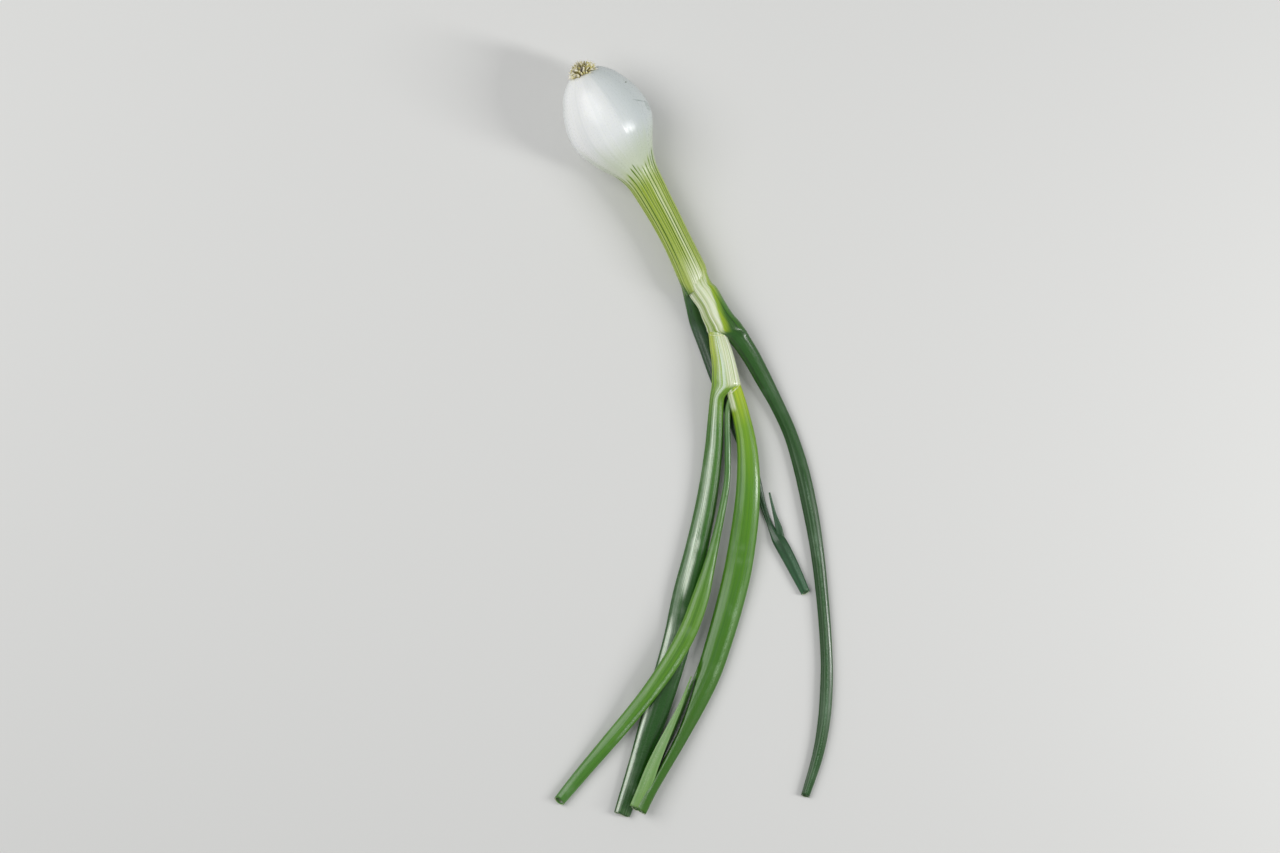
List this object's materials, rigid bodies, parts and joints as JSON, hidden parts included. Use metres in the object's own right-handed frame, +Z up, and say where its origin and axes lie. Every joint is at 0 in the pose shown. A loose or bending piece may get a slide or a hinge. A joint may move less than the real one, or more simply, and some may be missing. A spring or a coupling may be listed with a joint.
{
  "type": "spring onion",
  "caption": "Whole spring onion lying on its side: white bulb with clipped roots, ribbed neck and long hollow leaves cut open at their ends.",
  "frame": {"origin": "on the small flat spot under the bulb, at the surface that the onion lies on", "axes": "+Z up from the surface; the leaves run towards -Y and the root end points to +Y"},
  "size_m": [0.1085, 0.2927, 0.0332],
  "materials": {
    "bulb_skin": "smooth waxy white skin, turning yellow-green and ribbed on the neck",
    "root_cream": "dry fibrous cream stubs with olive and brown shadows",
    "leaf_dark": "dark green waxy leaf with fine lengthwise veins",
    "leaf_mid": "mid green waxy leaf with fine lengthwise veins and a pale bloom",
    "leaf_bright": "bright yellow-green waxy leaf with fine lengthwise veins"
  },
  "bodies": {
    "root": {"bulb": "bulb_skin", "root_tuft": "root_cream", "back_leaf": "leaf_dark", "right_leaf": "leaf_dark", "left_leaf": "leaf_mid", "broad_leaf": "leaf_bright", "centre_leaf": "leaf_bright"}
  },
  "joints": []
}
